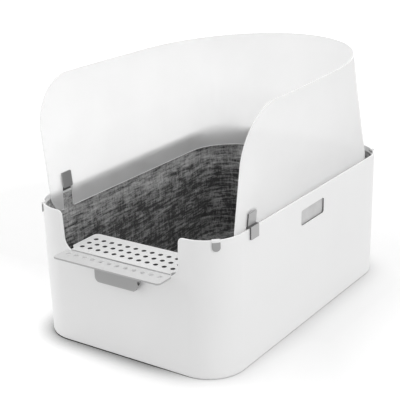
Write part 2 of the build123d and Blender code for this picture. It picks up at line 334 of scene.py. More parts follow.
def merged_copy(node: str, name: str) -> Piece:
    """Copy a CAD node's mesh into a new piece, with its loose triangles merged into flat faces.

    Args:
        node: Name of the CAD node.
        name: Name of the new piece.

    Returns:
        The new piece.
    """
    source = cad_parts[node]
    piece = bpy.data.objects.new(name, source.data.copy())
    bpy.context.scene.collection.objects.link(piece)
    piece.data.materials.clear()
    with shaping(piece):
        bpy.ops.mesh.select_all(action="SELECT")
        bpy.ops.mesh.remove_doubles(threshold=SAME_POINT * MM)
        bpy.ops.mesh.dissolve_limited(angle_limit=math.radians(FLAT_ANGLE))
    return piece


# ---------------------------------------------------------------- finishes


@dataclass(frozen=True)
class Grain:
    """A noise: its cells per metre, octaves, strength of the finer octaves, and scale along each axis."""

    cells: float
    octaves: float
    fine: float = 0.5
    scale: Triple = (1, 1, 1)


def neutral(value: float) -> Triple:
    """Neutral colour."""
    return (value, value, value)


class Shades:
    """The node tree of a material or world under construction, with short names for its nodes."""

    COLOUR_INPUTS = (6, 7)
    COLOUR_RESULT = 2

    def __init__(self, owner: bpy.types.Material | bpy.types.World) -> None:
        """Start an empty tree.

        Args:
            owner: The material or world that the tree belongs to.
        """
        owner.use_nodes = True
        self.owner = owner
        self.tree = owner.node_tree
        self.tree.nodes.clear()
        is_world = isinstance(owner, bpy.types.World)
        self.output = self.tree.nodes.new("ShaderNodeOutputWorld" if is_world else "ShaderNodeOutputMaterial")

    @classmethod
    def of_material(cls, name: str) -> "Shades":
        """Tree of a new material."""
        return cls(bpy.data.materials.new(name))

    @cached_property
    def place(self) -> Socket:
        """Place on the object, in metres."""
        return self.node("ShaderNodeTexCoord").outputs["Object"]

    @cached_property
    def parts(self) -> bpy.types.Node:
        """The place on the object, axis by axis."""
        return self.node("ShaderNodeSeparateXYZ", Vector=self.place)

    def at(self, axis: Axis) -> Socket:
        """Place along an axis."""
        return self.parts.outputs[axis.name]

    def node(self, kind: str, **inputs: object) -> bpy.types.Node:
        """Add a node and set or link its inputs.

        Args:
            kind: Blender's name for the node.
            **inputs: Input name, with underscores for spaces, to a value or an output socket.

        Returns:
            The new node.
        """
        made = self.tree.nodes.new(kind)
        for key, value in inputs.items():
            self.feed(made.inputs[key.replace("_", " ")], value)
        return made

    def feed(self, socket: Socket, value: object) -> None:
        """Set a socket to a value, or link an output to it.

        Args:
            socket: The input socket.
            value: A value or an output socket.
        """
        if isinstance(value, Socket):
            self.tree.links.new(value, socket)
        else:
            socket.default_value = value

    def noise(self, grain: Grain) -> Socket:
        """Noise over the object, from 0 to 1.

        Args:
            grain: The noise's cells, octaves and scale.

        Returns:
            The noise's socket.
        """
        mapped = self.node("ShaderNodeMapping", Vector=self.place, Scale=grain.scale)
        made = self.node(
            "ShaderNodeTexNoise",
            Vector=mapped.outputs["Vector"],
            Scale=grain.cells,
            Detail=grain.octaves,
            Roughness=grain.fine,
        )
        return made.outputs["Fac"]

    def wander(self, grain: Grain, low: float = 0, high: float = 1) -> Socket:
        """Value that a noise moves between two levels."""
        return self.spread(self.noise(grain), *NOISE_RANGE, low, high)

    def spread(self, value: Socket, low: float, high: float, to_low: float = 0, to_high: float = 1) -> Socket:
        """Map a range of a value to another range, clamped at its ends.

        Args:
            value: The value's socket.
            low: Start of its range.
            high: End of its range.
            to_low: What the start becomes.
            to_high: What the end becomes.

        Returns:
            The mapped value's socket.
        """
        made = self.node(
            "ShaderNodeMapRange",
            Value=value,
            From_Min=low,
            From_Max=high,
            To_Min=to_low,
            To_Max=to_high,
        )
        return made.outputs["Result"]

    def math(self, operation: str, first: object, second: object = 0) -> Socket:
        """Combine two values.

        Args:
            operation: Blender's name for the operation.
            first: A value or socket.
            second: A value or socket.

        Returns:
            The result's socket.
        """
        made = self.tree.nodes.new("ShaderNodeMath")
        made.operation = operation
        self.feed(made.inputs[0], first)
        self.feed(made.inputs[1], second)
        return made.outputs[0]

    def times(self, first: object, second: object) -> Socket:
        """Product of two values."""
        return self.math("MULTIPLY", first, second)

    def plus(self, first: object, second: object) -> Socket:
        """Sum of two values."""
        return self.math("ADD", first, second)

    def rest_of(self, value: Socket) -> Socket:
        """What a value leaves of one."""
        return self.math("SUBTRACT", 1.0, value)

    def blend(self, factor: Socket, start: Socket | Triple, end: Triple) -> Socket:
        """Colour between a first colour and a second one.

        Args:
            factor: Socket with 0 for the first colour and 1 for the second.
            start: The first colour or its socket.
            end: The second colour.

        Returns:
            The colour's socket.
        """
        made = self.tree.nodes.new("ShaderNodeMix")
        made.data_type = "RGBA"
        self.feed(made.inputs["Factor"], factor)
        for index, colour in zip(self.COLOUR_INPUTS, (start, end)):
            self.feed(made.inputs[index], colour if isinstance(colour, Socket) else (*colour, 1))
        return made.outputs[self.COLOUR_RESULT]

    def mix(self, factor: object, first: bpy.types.Node, second: bpy.types.Node) -> bpy.types.Node:
        """Mix two shaders.

        Args:
            factor: Share of the second shader, as a value or socket.
            first: The first shader.
            second: The second shader.

        Returns:
            The mixing node.
        """
        made = self.tree.nodes.new("ShaderNodeMixShader")
        for socket, value in zip(made.inputs, (factor, first.outputs[0], second.outputs[0])):
            self.feed(socket, value)
        return made

    def bump(self, height: Socket, depth: float, strength: float) -> Socket:
        """Bump from a height, depth in millimetres."""
        made = self.node("ShaderNodeBump", Height=height, Distance=depth * MM, Strength=strength)
        return made.outputs["Normal"]

    def seen_directly(self) -> Socket:
        """Tell the camera's rays, and those that gloss or see-through pieces send on, from the rest.

        Returns:
            Socket with 1 for those rays and 0 for the rest.
        """
        path = self.node("ShaderNodeLightPath")
        seen = self.math("MAXIMUM", path.outputs["Is Camera Ray"], path.outputs["Is Glossy Ray"])
        return self.math("MAXIMUM", seen, path.outputs["Is Transmission Ray"])

    def surface(self, shader: bpy.types.Node) -> bpy.types.Material | bpy.types.World:
        """Connect the finished shader and hand over the material or world."""
        self.tree.links.new(shader.outputs[0], self.output.inputs["Surface"])
        return self.owner


@dataclass(frozen=True)
class MouldedPlastic:
    """Injection-moulded plastic with a spark-eroded grain, faint flow marks and, if asked, painted light from
    the floor at its foot.
    """

    name: str
    colour: Triple
    roughness: float = 0.42
    roughness_range: tuple[float, float] = (-0.04, 0.05)
    shift: float = 0.012
    ior: float = 1.46
    flow: Grain = Grain(7, 3, 0.45, (1, 1, 0.4))
    flow_range: tuple[float, float] = (0.35, 0.65)
    wear: Grain = Grain(30, 4, 0.55)
    spark: Grain = Grain(900, 2, 0.6)
    spark_depth: float = 0.03
    spark_strength: float = 0.5
    # foot is the strength of painted light from the floor: the colour turns paler towards the floor
    foot: float = 0.0
    floor_bounce_high: float = 110.0
    floor_bounce_colour: Triple = (0.97, 0.97, 0.97)

    def material(self) -> bpy.types.Material:
        """Build the material.

        Returns:
            The material.
        """
        s = Shades.of_material(self.name)
        dark = [c * (1 - self.shift) for c in self.colour]
        light = [min(1, c * (1 + self.shift)) for c in self.colour]
        colour = s.blend(s.spread(s.noise(self.flow), *self.flow_range), dark, light)
        # painted light from the floor: paler towards the floor
        if self.foot:
            floor_bounce = s.spread(s.at(Axis.Z), 0, self.floor_bounce_high * MM, self.foot, 0)
            colour = s.blend(floor_bounce, colour, self.floor_bounce_colour)
        rough = s.wander(self.wear, *(self.roughness + change for change in self.roughness_range))
        return s.surface(
            s.node(
                "ShaderNodeBsdfPrincipled",
                Base_Color=colour,
                Roughness=rough,
                IOR=self.ior,
                Normal=s.bump(s.noise(self.spark), self.spark_depth, self.spark_strength),
            )
        )


@dataclass(frozen=True)
class FrostedSheet:
    """Frosted sheet: a milky skin, light that passes scattered, and light that passes straight."""

    name: str
    colour: Triple
    passes: float = 0.36
    clear: float = 0.30
    shift: tuple[float, float] = (0.985, 1.01)
    roughness: tuple[float, float] = (0.44, 0.54)
    ior: float = 1.4
    cloud: Grain = Grain(14, 4, 0.5)
    cloud_passes: float = 0.01
    wear: Grain = Grain(60, 3)
    frost: Grain = Grain(1400, 2, 0.6)
    frost_depth: float = 0.02
    frost_strength: float = 0.4
    # painted light: the sheet is painted paler low down towards the rear left, just above the rim, where it
    # lies in shade
    painted_light: float = 0.4
    painted_light_colour: Triple = (0.99, 0.99, 0.99)
    painted_light_low: float = 243.0
    painted_light_high: float = 310.0
    painted_light_fade: float = 250.0
    crown: float = 0.5
    crown_colour: Triple = (0.8, 0.8, 0.8)
    crown_low: float = 330.0
    crown_high: float = 437.0

    def milk(self, s: Shades, cloud: Socket) -> Socket:
        """Colour of the sheet: cloudy, with painted light low at the rear left and a greyer crown.

        Args:
            s: The material's node tree.
            cloud: Socket of the cloudiness, from 0 to 1.

        Returns:
            The colour's socket.
        """
        dark, light = ([min(1, c * share) for c in self.colour] for share in self.shift)
        # painted light, strongest low on the sheet and towards the rear left
        behind = s.math("SUBTRACT", s.at(Axis.Y), s.at(Axis.X))
        painted_light = s.times(
            s.spread(s.at(Axis.Z), self.painted_light_low * MM, self.painted_light_high * MM, self.painted_light, 0),
            s.spread(behind, -self.painted_light_fade * MM, 0),
        )
        colour = s.blend(painted_light, s.blend(cloud, dark, light), self.painted_light_colour)
        crown = s.spread(s.at(Axis.Z), self.crown_low * MM, self.crown_high * MM, 0, self.crown)
        return s.blend(crown, colour, self.crown_colour)

    def material(self) -> bpy.types.Material:
        """Build the material.

        Returns:
            The material.
        """
        s = Shades.of_material(self.name)
        cloud = s.wander(self.cloud)
        colour = self.milk(s, cloud)
        skin = s.node(
            "ShaderNodeBsdfPrincipled",
            Base_Color=colour,
            Roughness=s.wander(self.wear, *self.roughness),
            IOR=self.ior,
            Normal=s.bump(s.noise(self.frost), self.frost_depth, self.frost_strength),
        )
        scattered = s.node("ShaderNodeBsdfTranslucent", Color=colour)
        straight = s.node("ShaderNodeBsdfTransparent", Color=(1, 1, 1, 1))
        share = self.passes / (1 - self.clear)
        passing = s.spread(cloud, 0, 1, share - self.cloud_passes, share + self.cloud_passes)
        return s.surface(s.mix(self.clear, s.mix(passing, skin, scattered), straight))


@dataclass(frozen=True)
class FeltCloth:
    """Needled felt of dark and pale fibres: blotches, short streaks both ways, and a fibrous nap."""

    name: str
    dark: Triple
    light: Triple
    blotch: Grain = Grain(30, 3, 0.6)
    upright: Grain = Grain(85, 5, 0.7, (2.2, 2.2, 0.5))
    lying: Grain = Grain(85, 5, 0.7, (0.35, 0.35, 2.6))
    fibre: Grain = Grain(420, 4, 0.7, (1, 1, 0.35))
    shares: tuple[float, float, float, float] = (0.14, 0.22, 0.48, 0.18)
    pale_range: tuple[float, float] = (0.44, 0.60)
    # the colour turns paler towards the hem and darker lower down
    height_shift_low: float = 130.0
    height_shift_high: float = 182.0
    height_shift_range: tuple[float, float] = (-0.045, 0.02)
    nap_depth: float = 0.7
    nap_strength: float = 0.7
    nap_share: float = 0.6
    roughness: float = 0.95
    specular: float = 0.2
    sheen: float = 0.12
    sheen_roughness: float = 0.5

    def material(self) -> bpy.types.Material:
        """Build the material, with a nap whose colour turns paler towards the hem and darker lower down.

        Returns:
            The material.
        """
        s = Shades.of_material(self.name)
        layers = [s.noise(grain) for grain in (self.blotch, self.upright, self.lying, self.fibre)]
        mixed, *others = [s.times(layer, share) for layer, share in zip(layers, self.shares)]
        for layer in others:
            mixed = s.plus(mixed, layer)
        # paler towards the hem, darker lower down
        height_shift = s.spread(s.at(Axis.Z), self.height_shift_low * MM, self.height_shift_high * MM, *self.height_shift_range)
        factor = s.spread(s.plus(mixed, height_shift), *self.pale_range)
        nap = s.plus(s.times(layers[-1], self.nap_share), s.times(mixed, self.nap_share))
        return s.surface(
            s.node(
                "ShaderNodeBsdfPrincipled",
                Base_Color=s.blend(factor, self.dark, self.light),
                Roughness=self.roughness,
                Specular_IOR_Level=self.specular,
                Sheen_Weight=self.sheen,
                Sheen_Roughness=self.sheen_roughness,
                Normal=s.bump(nap, self.nap_depth, self.nap_strength),
            )
        )


@dataclass(frozen=True)
class WovenBacking:
    """Pale plain-woven cloth: threads crossing both ways, with slubs."""

    name: str
    colour: Triple
    thread: float = 1.1
    slub: Grain = Grain(40, 4, 0.6)
    dark_share: float = 0.86
    pale_range: tuple[float, float] = (0.3, 0.8)
    thread_shade: float = 0.12
    thread_depth: float = 0.15
    thread_strength: float = 0.6
    roughness: float = 0.85
    sheen: float = 0.08

    def material(self) -> bpy.types.Material:
        """Build the material.

        Returns:
            The material.
        """
        s = Shades.of_material(self.name)
        turn = 2 * math.pi / (self.thread * MM)
        across = s.plus(s.at(Axis.X), s.at(Axis.Y))
        warp = s.math("SINE", s.times(across, turn))
        weft = s.math("SINE", s.times(s.at(Axis.Z), turn))
        weave = s.math("MAXIMUM", warp, weft)
        factor = s.spread(s.plus(s.times(weave, self.thread_shade), s.noise(self.slub)), *self.pale_range)
        dark = [c * self.dark_share for c in self.colour]
        return s.surface(
            s.node(
                "ShaderNodeBsdfPrincipled",
                Base_Color=s.blend(factor, dark, self.colour),
                Roughness=self.roughness,
                Sheen_Weight=self.sheen,
                Normal=s.bump(weave, self.thread_depth, self.thread_strength),
            )
        )


@dataclass(frozen=True)
class Finishes:
    """Every finish of the object."""

    # the tub's foot gets painted light from the floor
    box: MouldedPlastic = MouldedPlastic("box_white", neutral(0.838), foot=0.26)
    shield: FrostedSheet = FrostedSheet("shield_frosted", neutral(0.937))
    # painted highlight: a whiter plastic for the thin edges of the tub, the shield and the step panel, where
    # light catches them
    edge: MouldedPlastic = MouldedPlastic("edge_painted_highlight", neutral(0.96), roughness=0.5)
    # painted shade: near black for the walls of the panel's holes
    hole: MouldedPlastic = MouldedPlastic("hole_painted_shade", neutral(0.13), roughness=0.6)
    # painted shade: grey for the panel's face at the fold, the crease's shade
    fold: MouldedPlastic = MouldedPlastic("fold_painted_shade", neutral(0.55), roughness=0.6)
    # painted shade: dark grey for the inside of the hand slots
    slot: MouldedPlastic = MouldedPlastic("slot_painted_shade", neutral(0.22), roughness=0.6)
    # painted shade: near black for recesses and gaps of the fittings
    dark: MouldedPlastic = MouldedPlastic("fitting_painted_shade", neutral(0.11), roughness=0.5)
    grey: MouldedPlastic = MouldedPlastic("clip_grey", neutral(0.42), roughness=0.5)
    # painted light: a lighter copy of the grey plastic for the left clip's front faces
    grey_lit: MouldedPlastic = MouldedPlastic("clip_grey_painted_light", neutral(0.43), roughness=0.5)
    # painted shade: a darker copy of the grey plastic for the left clip, which stands in shade
    grey_shaded: MouldedPlastic = MouldedPlastic("clip_grey_painted_shade", neutral(0.27), roughness=0.5)
    grey_hook: MouldedPlastic = MouldedPlastic("hook_grey", neutral(0.345), roughness=0.5)
    cap: MouldedPlastic = MouldedPlastic("hook_cap_white", neutral(0.84))
    # painted shade: a darker copy of the clip grey for the bracket's tongue under the flap
    tongue: MouldedPlastic = MouldedPlastic("tongue_grey_painted_shade", neutral(0.385), roughness=0.5)
    step: MouldedPlastic = MouldedPlastic("step_grey", neutral(0.785), roughness=0.5, spark_depth=0.06)
    # painted shade: the flap is a darker copy of the step's plastic, the same plastic less lit
    flap: MouldedPlastic = MouldedPlastic("flap_grey_painted_shade", neutral(0.66), roughness=0.5, spark_depth=0.06)
    felt: FeltCloth = FeltCloth("liner_felt", neutral(0.062), neutral(0.625))
    backing: WovenBacking = WovenBacking("liner_backing", neutral(0.67))
    tape: WovenBacking = WovenBacking("liner_tape", neutral(0.95), thread=0.8)


FINISHES = Finishes()


def dress(
    piece: Piece,
    body: Body,
    materials: Sequence[bpy.types.Material],
    nodes: Sequence[str],
) -> Piece:
    """Give a finished piece its materials, its body and the nodes that it stands for.

    Args:
        piece: The finished piece.
        body: The body that it rides on.
        materials: Materials to add to it, in the order of its material slots.
        nodes: CAD nodes that it replaces.

    Returns:
        The same piece.
    """
    for material in materials:
        piece.data.materials.append(material)
    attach(piece, body.value)
    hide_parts(*nodes)
    log.info("%s: %d faces, on %s", piece.name, len(piece.data.polygons), body.value)
    return piece


def paint(piece: Piece, coat_of: Callable[[bpy.types.MeshPolygon], int]) -> None:
    """Give each face of a piece one of its materials.

    Args:
        piece: The dressed piece.
        coat_of: Takes a face and gives the index of its material.
    """
    for face in piece.data.polygons:
        face.material_index = int(coat_of(face))


# ---------------------------------------------------------------- the object


@dataclass
class Entry:
    """The low entry in the front wall, shared by the box, the liner and its tape."""

    half_mouth: float = 118.0
    half_sill: float = 115.0
    rim: float = 240.0
    sill: float = 170.0
    lip_round: float = 8.0
    bowl_round: float = 22.0
    front: float = -340.0
    back: float = -240.0
    over: float = 20.0

    def cutter(self, grow: float = 0.0) -> Piece:
        """Make the body that cuts the entry.

        Args:
            grow: How far its outline is moved out, in millimetres.

        Returns:
            The cutter.
        """
        mouth = self.half_mouth + grow
        low = self.sill - grow
        lean = (self.half_mouth - self.half_sill) / (self.rim - self.sill)
        body = add_block("entry_cutter", (-mouth, self.front, low), (mouth, self.back, self.rim + self.over))
        with shaping(body):
            pick(body, Pick.POINTS, lambda p: p.co.z / MM < low + NEAR)
            stretch((mouth - lean * (self.rim - low)) / mouth, 1, 1)
            pick(body, Pick.POINTS, lambda p: p.co.z / MM > low + NEAR)
            stretch((mouth + lean * self.over) / mouth, 1, 1)
            pick(body, Pick.EDGES, lambda e: along(e, Axis.Y) and middle_of(e).z < low + NEAR)
            round_off(self.bowl_round + grow, flats=10)
        return body


class BoxCoat(IntEnum):
    """Finishes of the tub, in the order of its material slots."""

    WALL = 0
    # painted highlight on the rim and the entry's edges
    EDGE = 1
    # painted shade inside the hand slots
    SLOT = 2


@dataclass
class OuterBox:
    """Moulded tub with a thin wall, the entry and two hand slots."""

    entry: Entry
    half_width: float = 195.0
    half_depth: float = 292.5
    height: float = 240.0
    corner: float = 66.0
    draft: float = 2.0
    wall: float = 2.8
    floor: float = 3.0
    base_round: float = 4.0
    rim_round: float = 0.8
    slot_half_length: float = 40.0
    slot_low: float = 189.0
    slot_high: float = 216.0
    slot_round: float = 4.0
    slot_reach: float = 5.0
    slot_facing: float = 0.5
    rim_facing: float = 0.25
    entry_facing: float = 0.8
    entry_margin: float = 12.0

    def half(self, inset: float) -> tuple[float, float]:
        """Half of the rim's width and depth, drawn in by inset."""
        return self.half_width - inset, self.half_depth - inset

    def draw_in(self, inset: float, height: float) -> tuple[float, float]:
        """Scale of the outline at a height against that at the rim.

        Args:
            inset: How far both outlines are drawn in, in millimetres.
            height: Height in millimetres.

        Returns:
            Scale of the width and scale of the depth.
        """
        lean = self.draft * (1 - height / self.height)
        wide, deep = self.half(inset)
        return (wide - lean) / wide, (deep - lean) / deep

    def shell(self) -> Piece:
        """Tub with leaning walls, before anything is cut.

        Returns:
            The tub.
        """
        piece = add_tub_block("box_shell", self.half(0), 0, self.height, self.corner)
        with shaping(piece):
            pick(piece, Pick.POINTS, lambda p: p.co.z / MM < NEAR)
            stretch(*self.draw_in(0, 0), 1)
            pick(piece, Pick.EDGES, lambda e: level(e, 0))
            round_off(self.base_round, flats=3)
            pick(piece, Pick.FACES, lambda f: f.normal.z > SQUARE_ON)
            step_in(self.wall)
            pull_up(self.floor - self.height)
            stretch(*self.draw_in(self.wall, self.floor), 1)
        return piece

    def slot_cutter(self) -> Piece:
        """Body that cuts both hand slots.

        Returns:
            The cutter.
        """
        reach = 2 * self.half_width
        cutter = add_block(
            "slot_cutter",
            (-reach, -self.slot_half_length, self.slot_low),
            (reach, self.slot_half_length, self.slot_high),
        )
        with shaping(cutter):
            pick(cutter, Pick.EDGES, lambda e: along(e, Axis.X))
            round_off(self.slot_round, flats=5)
        return cutter

    def at_lip(self, edge: bmesh.types.BMEdge) -> bool:
        """Whether an edge is one of the two corners where the rim turns down into the entry.

        Args:
            edge: The edge.

        Returns:
            True for those two edges.
        """
        x, y, _ = middle_of(edge)
        at_mouth = abs(abs(x) - self.entry.half_mouth) < NEAR and y < 0
        return at_mouth and along(edge, Axis.Y) and level(edge, self.height)

    def coat_of(self, face: bpy.types.MeshPolygon) -> BoxCoat:
        """Finish of a face: painted shade inside the slots, a painted highlight on the thin edges of rim and
        entry, or the wall.

        Args:
            face: The face.

        Returns:
            The finish.
        """
        x, y, z = face.center / MM
        facing = face.normal
        beside_slot = abs(y) < self.slot_half_length + NEAR and abs(x) > self.half_width - self.slot_reach
        in_slot = beside_slot and self.slot_low - NEAR < z < self.slot_high + NEAR
        # painted shade on the slots' inner faces
        if in_slot and abs(facing.x) < self.slot_facing:
            return BoxCoat.SLOT
        if z < self.entry.sill - NEAR:
            return BoxCoat.WALL
        in_front = y < self.wall + NEAR - self.half_depth
        beside_entry = in_front and abs(x) < self.entry.half_mouth + self.entry_margin
        # painted highlight on the rim's top and on the entry's edges
        if facing.z > self.rim_facing or (beside_entry and abs(facing.y) < self.entry_facing):
            return BoxCoat.EDGE
        return BoxCoat.WALL

    def build(self) -> Piece:
        """Model and dress the tub.

        Returns:
            The tub.
        """
        piece = self.shell()
        carve(piece, self.entry.cutter())
        with shaping(piece):
            pick(piece, Pick.EDGES, self.at_lip)
            round_off(self.entry.lip_round, flats=7)
        carve(piece, self.slot_cutter())
        soften(piece, self.rim_round)
        materials = [FINISHES.box.material(), FINISHES.edge.material(), FINISHES.slot.material()]
        dress(piece, Body.BOX, materials, ["outer_box"])
        paint(piece, self.coat_of)
        return piece


@dataclass
class Liner:
    """Felt tub that hangs inside the box, soft and slightly slack."""

    entry: Entry
    box: OuterBox
    gap: float = 0.5
    cloth: float = 1.2
    top: float = 231.0
    base_round: float = 5.0
    cell: float = 6.0
    spare_cells: int = 4
    slack: float = 2.2
    wave_length: float = 70.0
    wave_detail: tuple[float, float, int] = (0.8, 2.0, 3)
    fold_size: Triple = (26.0, 26.0, 130.0)
    floor_mix: tuple[float, float] = (0.7, 0.6)
    wall_mix: Triple = (0.55, 0.9, 0.5)
    wall_power: float = 0.7
    smooth_angle: float = 60.0
    floor_high: float = 8.0
    floor_margin: float = 16.0
    floor_fade: float = 30.0
    slack_high: float = 190.0
    taut_front: float = 80.0
    taut_share: float = 0.15
    corner_share: float = 0.1

    def block(self) -> Piece:
        """Solid of the liner's outside, remeshed into even cells and open at the top.

        Returns:
            The solid's skin.
        """
        inset = self.box.wall + self.gap
        low = self.box.floor + self.gap
        high = self.top + self.spare_cells * self.cell
        piece = add_tub_block("liner_felt", self.box.half(inset), low, high, self.box.corner - inset)
        with shaping(piece):
            pick(piece, Pick.POINTS, lambda p: p.co.z / MM < low + NEAR)
            stretch(*self.box.draw_in(inset, low), 1)
            pick(piece, Pick.POINTS, lambda p: p.co.z / MM > low + NEAR)
            stretch(*self.box.draw_in(inset, high), 1)
            pick(piece, Pick.EDGES, lambda e: level(e, low))
            round_off(self.base_round, flats=3)
        apply_modifier(piece, "REMESH", mode="VOXEL", voxel_size=self.cell * MM)
        with shaping(piece):
            slice_through((0, 0, self.top), (0, 0, 1), clear=True)
        return piece

    def wall_slack(self, y: float, z: float) -> float:
        """Share of the slack at a place on the wall: most half way up, none at the hem, little in front.

        Args:
            y: Place along the box in millimetres.
            z: Height in millimetres.

        Returns:
            The share, from 0 to 1.
        """
        if z >= self.slack_high:
            return 0
        share = math.sin(math.pi * max(0, z / self.slack_high)) ** self.wall_power
        return share * self.taut_share if y < self.taut_front - self.box.half_depth else share

    def hang(self, piece: Piece) -> None:
        """Let the cloth billow inwards between its hem and its floor, clear of the step and the shield.

        Args:
            piece: The liner's skin.
        """
        half_width, half_depth = self.box.half(0)
        for point in piece.data.vertices:
            x, y, z = point.co / MM
            wave = noise.fractal(Vector((x, y, z)) / self.wave_length, *self.wave_detail)
            inside = min(half_width - abs(x), half_depth - abs(y)) - self.floor_margin
            if z < self.floor_high and inside > 0:
                share = min(1, inside / self.floor_fade)
                level_part, wave_part = self.floor_mix
                point.co.z += share * self.slack * (level_part + wave_part * wave) * MM
                continue
            fold = noise.noise(Vector([place / size for place, size in zip((x, y, z), self.fold_size)]))
            level_part, wave_part, fold_part = self.wall_mix
            billow = max(0, level_part + wave_part * wave + fold_part * fold)
            depth = self.wall_slack(y, z) * self.slack * billow
            across, deep = abs(x / half_width), abs(y / half_depth)
            if across > deep - self.corner_share:
                point.co.x -= math.copysign(depth, x) * MM
            if deep > across - self.corner_share:
                point.co.y -= math.copysign(depth, y) * MM

    def build(self) -> Piece:
        """Model and dress the liner, felt inside and woven backing outside.

        Returns:
            The liner.
        """
        piece = self.block()
        self.hang(piece)
        for finish in (FINISHES.backing, FINISHES.felt):
            piece.data.materials.append(finish.material())
        apply_modifier(piece, "SOLIDIFY", thickness=self.cloth * MM, offset=-1, material_offset=1)
        carve(piece, self.entry.cutter(grow=1.0))
        take_up(piece)
        bpy.ops.object.shade_smooth_by_angle(angle=math.radians(self.smooth_angle))
        return dress(piece, Body.LINER, [], ["liner"])


@dataclass
class LinerTape:
    """Pale edge tape sewn on the liner's top edge."""

    entry: Entry
    box: OuterBox
    gap: float = 0.5
    thickness: float = 1.2
    low: float = 231.0
    high: float = 234.0
    edge: float = 0.4

    def build(self) -> Piece:
        """Model and dress the tape.

        Returns:
            The tape.
        """
        inset = self.box.wall + self.gap
        corner = self.box.corner - inset
        piece = add_tub_block("liner_tape", self.box.half(inset), self.low, self.high, corner)
        with shaping(piece):
            pick(piece, Pick.FACES, lambda f: abs(f.normal.z) > SQUARE_ON)
            bpy.ops.mesh.delete(type="FACE")
        apply_modifier(piece, "SOLIDIFY", thickness=self.thickness * MM, offset=-1)
        carve(piece, self.entry.cutter(grow=1.0))
        soften(piece, self.edge)
        return dress(piece, Body.LINER, [FINISHES.tape.material()], ["liner_binding"])


class SheetCoat(IntEnum):
    """Finishes of the shield, in the order of its material slots."""

    FROSTED = 0
    # painted highlight on the cut edges and on a thin strip along the foot
    CUT = 1


